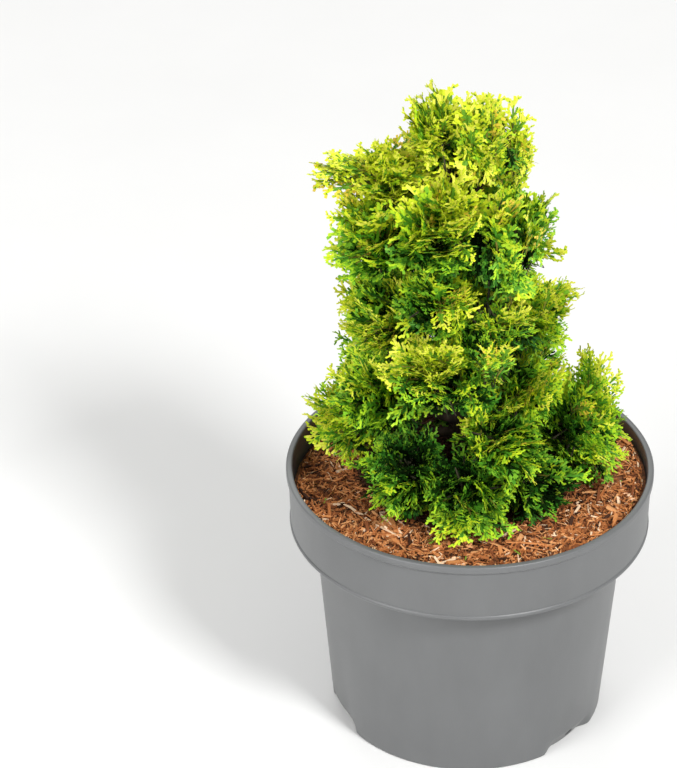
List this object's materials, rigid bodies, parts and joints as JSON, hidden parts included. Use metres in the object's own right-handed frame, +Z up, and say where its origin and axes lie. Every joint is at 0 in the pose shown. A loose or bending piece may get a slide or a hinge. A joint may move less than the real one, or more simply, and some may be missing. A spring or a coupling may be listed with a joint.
{
  "type": "potted dwarf hinoki cypress",
  "caption": "Dwarf golden conifer of dense, fan-like sprays on short boughs round one leaning trunk, standing in bark mulch in a tapered grey nursery pot with a deep collar.",
  "frame": {"origin": "middle of the pot's flat underside, on the pot's axis", "axes": "+Z up along the pot's axis, -Y towards the side the picture shows, +X to that side's right"},
  "size_m": [0.207, 0.207, 0.3951],
  "materials": {
    "pot_plastic": "matt grey moulded plastic",
    "bark_mulch": "shredded reddish bark over potting soil",
    "stem_bark": "dull brown bark",
    "foliage_crown": "satin scale leaves, golden",
    "foliage_upper": "satin scale leaves, yellow-green",
    "foliage_middle": "satin scale leaves, bright green",
    "foliage_shelf": "satin scale leaves, lime",
    "foliage_skirt": "satin scale leaves, deep green"
  },
  "bodies": {
    "root": {"bough_crown_back": "stem_bark", "bough_crown_left": "stem_bark", "bough_crown_right": "stem_bark", "bough_crown_spire": "stem_bark", "bough_middle_back": "stem_bark", "bough_middle_back_left": "stem_bark", "bough_middle_front_left": "stem_bark", "bough_middle_front_right": "stem_bark", "bough_middle_left": "stem_bark", "bough_middle_right": "stem_bark", "bough_shelf_front": "stem_bark", "bough_shelf_left": "stem_bark", "bough_shelf_right": "stem_bark", "bough_skirt_back": "stem_bark", "bough_skirt_back_left": "stem_bark", "bough_skirt_back_right": "stem_bark", "bough_skirt_front": "stem_bark", "bough_skirt_front_left": "stem_bark", "bough_skirt_front_right": "stem_bark", "bough_skirt_left": "stem_bark", "bough_skirt_near_right": "stem_bark", "bough_skirt_right": "stem_bark", "bough_upper_back_left": "stem_bark", "bough_upper_back_right": "stem_bark", "bough_upper_front_left": "stem_bark", "bough_upper_front_right": "stem_bark", "bough_upper_left": "stem_bark", "bough_upper_right": "stem_bark", "foliage_crown_back": "foliage_crown", "foliage_crown_leader": "foliage_crown", "foliage_crown_left": "foliage_crown", "foliage_crown_right": "foliage_crown", "foliage_crown_spire": "foliage_crown", "foliage_middle_back": "foliage_middle", "foliage_middle_back_left": "foliage_middle", "foliage_middle_front_left": "foliage_middle", "foliage_middle_front_right": "foliage_middle", "foliage_middle_left": "foliage_middle", "foliage_middle_right": "foliage_middle", "foliage_shelf_front": "foliage_shelf", "foliage_shelf_left": "foliage_shelf", "foliage_shelf_right": "foliage_shelf", "foliage_skirt_back": "foliage_skirt", "foliage_skirt_back_left": "foliage_skirt", "foliage_skirt_back_right": "foliage_skirt", "foliage_skirt_front": "foliage_skirt", "foliage_skirt_front_left": "foliage_skirt", "foliage_skirt_front_right": "foliage_skirt", "foliage_skirt_left": "foliage_skirt", "foliage_skirt_near_right": "foliage_skirt", "foliage_skirt_right": "foliage_skirt", "foliage_upper_back_left": "foliage_upper", "foliage_upper_back_right": "foliage_upper", "foliage_upper_front_left": "foliage_upper", "foliage_upper_front_right": "foliage_upper", "foliage_upper_left": "foliage_upper", "foliage_upper_right": "foliage_upper", "pot": "pot_plastic", "soil": "bark_mulch", "trunk": "stem_bark"}
  },
  "joints": []
}
